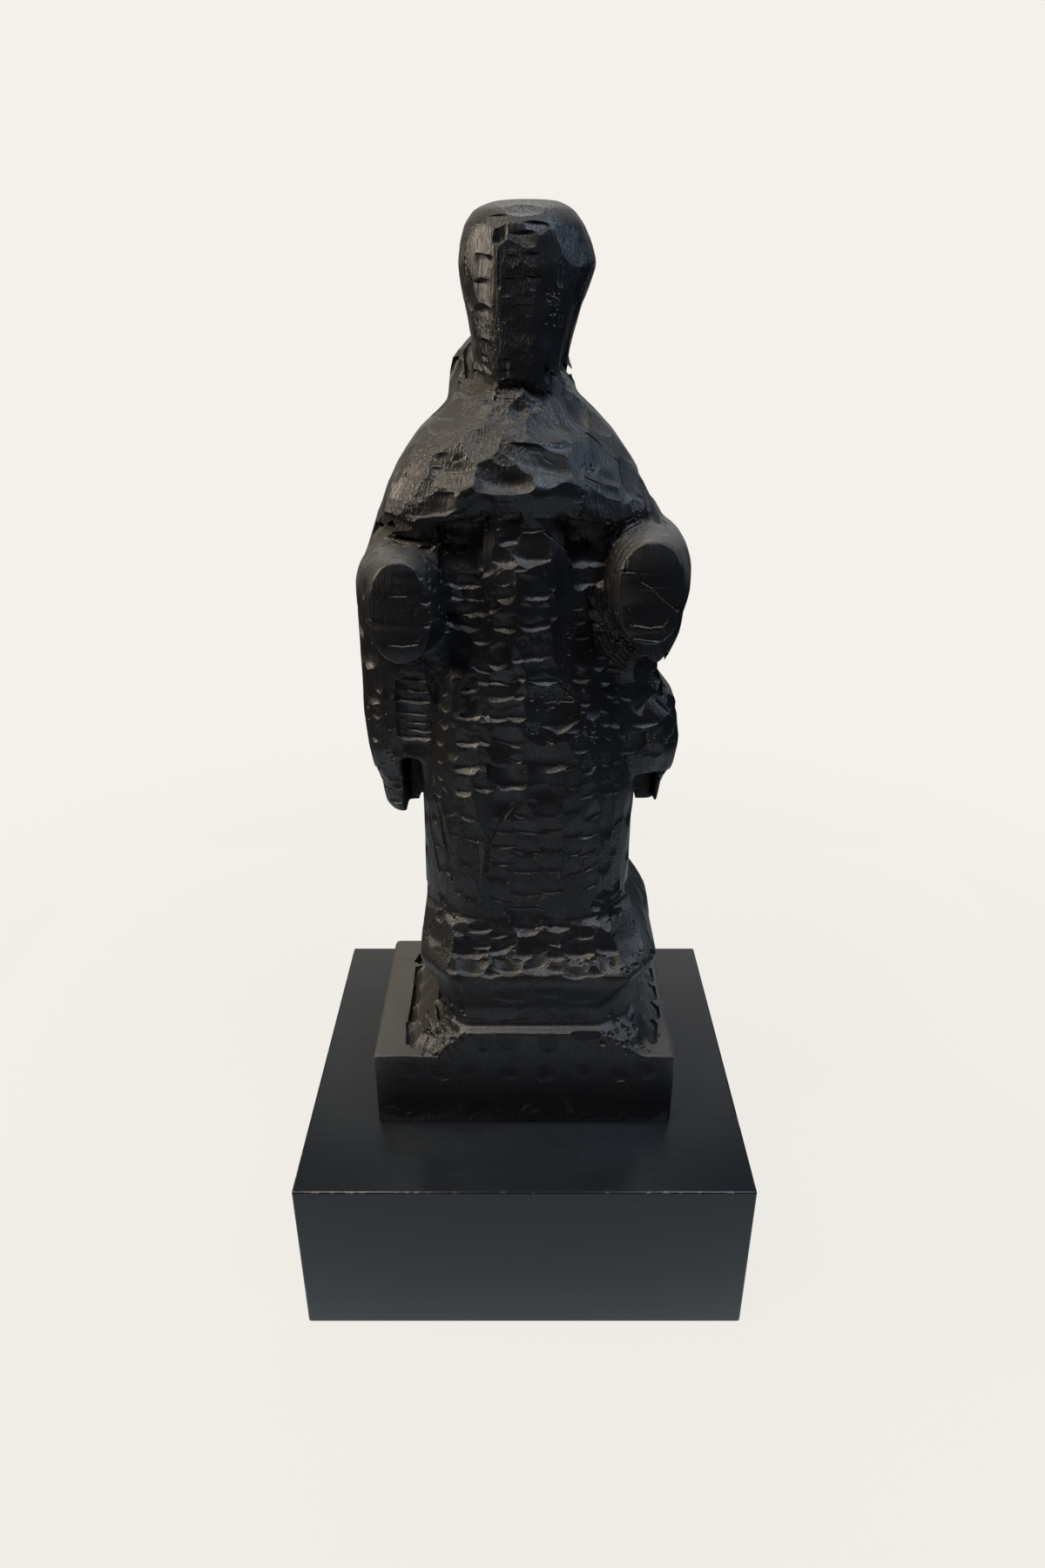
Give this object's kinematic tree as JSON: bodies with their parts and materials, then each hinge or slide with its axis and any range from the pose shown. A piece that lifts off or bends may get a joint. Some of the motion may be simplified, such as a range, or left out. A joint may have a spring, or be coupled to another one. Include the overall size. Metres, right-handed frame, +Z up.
{
  "type": "carved wooden figure on a plinth",
  "caption": "Standing robed figure without a face, gouge-carved from one length of dark timber with its own square base, on a low black painted plinth.",
  "frame": {"origin": "middle of the plinth's underside", "axes": "+Z up, the figure's front towards -Y, +X towards the right of the picture, which is the figure's own left"},
  "size_m": [0.222, 0.2, 0.508],
  "materials": {
    "stained_wood": "gouge-carved hardwood, stained nearly black and waxed to a low satin sheen",
    "black_paint": "smooth sanded wood under black satin paint"
  },
  "bodies": {
    "root": {"carved_figure": "stained_wood", "plinth": "black_paint"}
  },
  "joints": []
}
